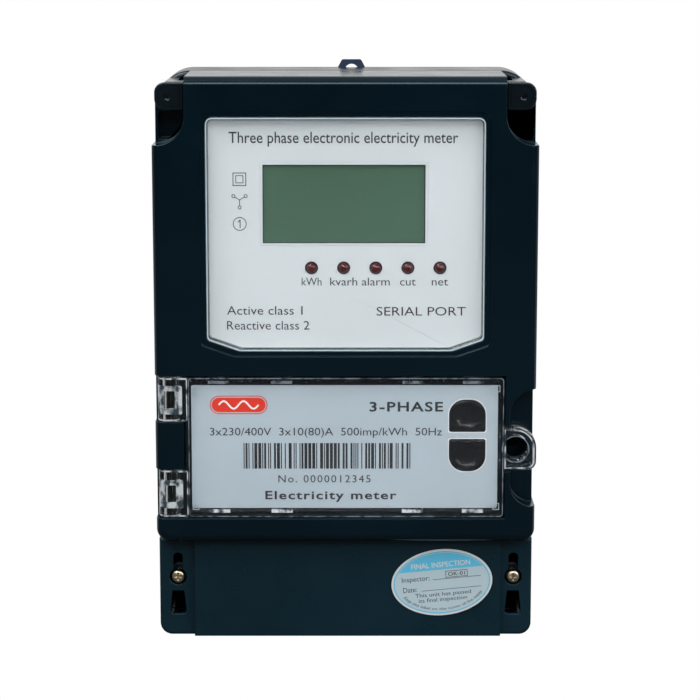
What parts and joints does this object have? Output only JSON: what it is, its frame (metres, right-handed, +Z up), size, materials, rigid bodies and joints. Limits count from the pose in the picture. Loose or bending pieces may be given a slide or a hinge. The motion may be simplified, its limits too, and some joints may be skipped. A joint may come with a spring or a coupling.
{
  "type": "smart electric meter",
  "caption": "Wall-mounted three-phase electricity meter with a display window, a clear flip door over a nameplate and push buttons, and a pull-off terminal cover.",
  "frame": {"origin": "centre of the back face, on the wall", "axes": "+X to the reader's right, +Z up, the front faces -Y, the wall is y = 0"},
  "size_m": [0.1702, 0.0758, 0.2582],
  "materials": {
    "satin_black_plastic": "satin moulded ABS",
    "gloss_black_plastic": "glossy moulded, blue-black",
    "satin_cover_plastic": "satin moulded, slightly lighter than the front cover",
    "clear_window": "clear polycarbonate",
    "clear_door": "clear polycarbonate",
    "printed_faceplate": "satin printed sheet",
    "lcd_glass": "unlit grey-green display",
    "white_diffuser": "matt",
    "silver_label": "silver printed film",
    "black_button": "fine grain",
    "dark_plastic": "moulded",
    "steel": "zinc plated",
    "dark_screw": "black oxide",
    "white_sticker": "printed vinyl",
    "yellow_zinc": "yellow zinc plating",
    "blue_plastic": "moulded",
    "green_board": "solder mask",
    "transformer_yellow": "taped winding",
    "battery_sleeve": "shrink sleeve",
    "green_connector": "moulded",
    "red_lamp": "tinted epoxy, unlit",
    "blue_resin": "cast resin",
    "brass": "machined"
  },
  "bodies": {
    "case": {"base_shell": "satin_black_plastic", "front_cover": "gloss_black_plastic", "window_lens": "clear_window", "faceplate": "printed_faceplate", "lcd_panel": "lcd_glass", "lcd_backlight": "white_diffuser", "led_1": "red_lamp", "led_2": "red_lamp", "led_3": "red_lamp", "led_4": "red_lamp", "led_5": "red_lamp", "nameplate": "silver_label", "upper_button_switch": "dark_plastic", "lower_button_switch": "dark_plastic", "upper_hinge_pin": "steel", "lower_hinge_pin": "steel", "left_corner_cap": "gloss_black_plastic", "right_corner_cap": "gloss_black_plastic", "terminal_block": "dark_plastic", "auxiliary_terminals": "green_connector", "main_board": "green_board", "current_transformer_1": "blue_resin", "current_transformer_2": "blue_resin", "current_transformer_3": "blue_resin", "power_transformer": "transformer_yellow", "disconnect_relay": "dark_plastic", "backup_battery": "battery_sleeve", "left_case_screw": "steel", "right_case_screw": "steel", "terminal_1": "brass", "terminal_2": "brass", "terminal_3": "brass", "terminal_4": "brass", "terminal_5": "brass", "terminal_6": "brass", "terminal_7": "brass"},
    "clear_door": {"nameplate_door": "clear_door"},
    "upper_button": {"upper_button": "black_button"},
    "lower_button": {"lower_button": "black_button"},
    "terminal_cover": {"terminal_cover": "satin_cover_plastic", "quality_sticker": "white_sticker"},
    "hanger": {"hanger": "blue_plastic"},
    "left_cover_screw": {"left_cover_screw": "yellow_zinc"},
    "right_cover_screw": {"right_cover_screw": "yellow_zinc"},
    "cover_lock_screw": {"cover_lock_screw": "dark_screw"},
    "clamp_screw_1a": {"clamp_screw_1a": "steel"},
    "clamp_screw_1b": {"clamp_screw_1b": "steel"},
    "clamp_screw_2a": {"clamp_screw_2a": "steel"},
    "clamp_screw_2b": {"clamp_screw_2b": "steel"},
    "clamp_screw_3a": {"clamp_screw_3a": "steel"},
    "clamp_screw_3b": {"clamp_screw_3b": "steel"},
    "clamp_screw_4a": {"clamp_screw_4a": "steel"},
    "clamp_screw_4b": {"clamp_screw_4b": "steel"},
    "clamp_screw_5a": {"clamp_screw_5a": "steel"},
    "clamp_screw_5b": {"clamp_screw_5b": "steel"},
    "clamp_screw_6a": {"clamp_screw_6a": "steel"},
    "clamp_screw_6b": {"clamp_screw_6b": "steel"},
    "clamp_screw_7a": {"clamp_screw_7a": "steel"},
    "clamp_screw_7b": {"clamp_screw_7b": "steel"}
  },
  "joints": [
    {"name": "door_hinge", "type": "hinge", "parent": "case", "child": "clear_door", "pos_m": [-0.079, -0.0702, -0.03735], "axis": [0, 0, -1], "range_deg": [0, 120]},
    {"name": "upper_button_press", "type": "slide", "parent": "case", "child": "upper_button", "axis": [0, 1, 0], "range_m": [0, 0.0012], "stiffness_N_per_m": 400},
    {"name": "lower_button_press", "type": "slide", "parent": "case", "child": "lower_button", "axis": [0, 1, 0], "range_m": [0, 0.0012], "stiffness_N_per_m": 400},
    {"name": "terminal_cover_pull", "type": "slide", "parent": "case", "child": "terminal_cover", "axis": [0, -1, 0], "range_m": [0, 0.05]},
    {"name": "hanger_slide", "type": "slide", "parent": "case", "child": "hanger", "axis": [0, 0, 1], "range_m": [0, 0.018]},
    {"name": "left_cover_screw_turn", "type": "hinge", "parent": "case", "child": "left_cover_screw", "pos_m": [-0.0762, -0.04, -0.0995], "axis": [0, -1, 0], "continuous": true},
    {"name": "right_cover_screw_turn", "type": "hinge", "parent": "case", "child": "right_cover_screw", "pos_m": [0.0762, -0.04, -0.0995], "axis": [0, -1, 0], "continuous": true},
    {"name": "cover_lock_screw_turn", "type": "hinge", "parent": "case", "child": "cover_lock_screw", "pos_m": [0.0759, -0.04, -0.038], "axis": [0, -1, 0], "continuous": true},
    {"name": "clamp_screw_1a_turn", "type": "hinge", "parent": "case", "child": "clamp_screw_1a", "pos_m": [-0.0525, -0.035, -0.097], "axis": [0, -1, 0], "continuous": true},
    {"name": "clamp_screw_1b_turn", "type": "hinge", "parent": "case", "child": "clamp_screw_1b", "pos_m": [-0.0525, -0.035, -0.1055], "axis": [0, -1, 0], "continuous": true},
    {"name": "clamp_screw_2a_turn", "type": "hinge", "parent": "case", "child": "clamp_screw_2a", "pos_m": [-0.035, -0.035, -0.097], "axis": [0, -1, 0], "continuous": true},
    {"name": "clamp_screw_2b_turn", "type": "hinge", "parent": "case", "child": "clamp_screw_2b", "pos_m": [-0.035, -0.035, -0.1055], "axis": [0, -1, 0], "continuous": true},
    {"name": "clamp_screw_3a_turn", "type": "hinge", "parent": "case", "child": "clamp_screw_3a", "pos_m": [-0.0175, -0.035, -0.097], "axis": [0, -1, 0], "continuous": true},
    {"name": "clamp_screw_3b_turn", "type": "hinge", "parent": "case", "child": "clamp_screw_3b", "pos_m": [-0.0175, -0.035, -0.1055], "axis": [0, -1, 0], "continuous": true},
    {"name": "clamp_screw_4a_turn", "type": "hinge", "parent": "case", "child": "clamp_screw_4a", "pos_m": [0, -0.035, -0.097], "axis": [0, -1, 0], "continuous": true},
    {"name": "clamp_screw_4b_turn", "type": "hinge", "parent": "case", "child": "clamp_screw_4b", "pos_m": [0, -0.035, -0.1055], "axis": [0, -1, 0], "continuous": true},
    {"name": "clamp_screw_5a_turn", "type": "hinge", "parent": "case", "child": "clamp_screw_5a", "pos_m": [0.0175, -0.035, -0.097], "axis": [0, -1, 0], "continuous": true},
    {"name": "clamp_screw_5b_turn", "type": "hinge", "parent": "case", "child": "clamp_screw_5b", "pos_m": [0.0175, -0.035, -0.1055], "axis": [0, -1, 0], "continuous": true},
    {"name": "clamp_screw_6a_turn", "type": "hinge", "parent": "case", "child": "clamp_screw_6a", "pos_m": [0.035, -0.035, -0.097], "axis": [0, -1, 0], "continuous": true},
    {"name": "clamp_screw_6b_turn", "type": "hinge", "parent": "case", "child": "clamp_screw_6b", "pos_m": [0.035, -0.035, -0.1055], "axis": [0, -1, 0], "continuous": true},
    {"name": "clamp_screw_7a_turn", "type": "hinge", "parent": "case", "child": "clamp_screw_7a", "pos_m": [0.0525, -0.035, -0.097], "axis": [0, -1, 0], "continuous": true},
    {"name": "clamp_screw_7b_turn", "type": "hinge", "parent": "case", "child": "clamp_screw_7b", "pos_m": [0.0525, -0.035, -0.1055], "axis": [0, -1, 0], "continuous": true}
  ]
}
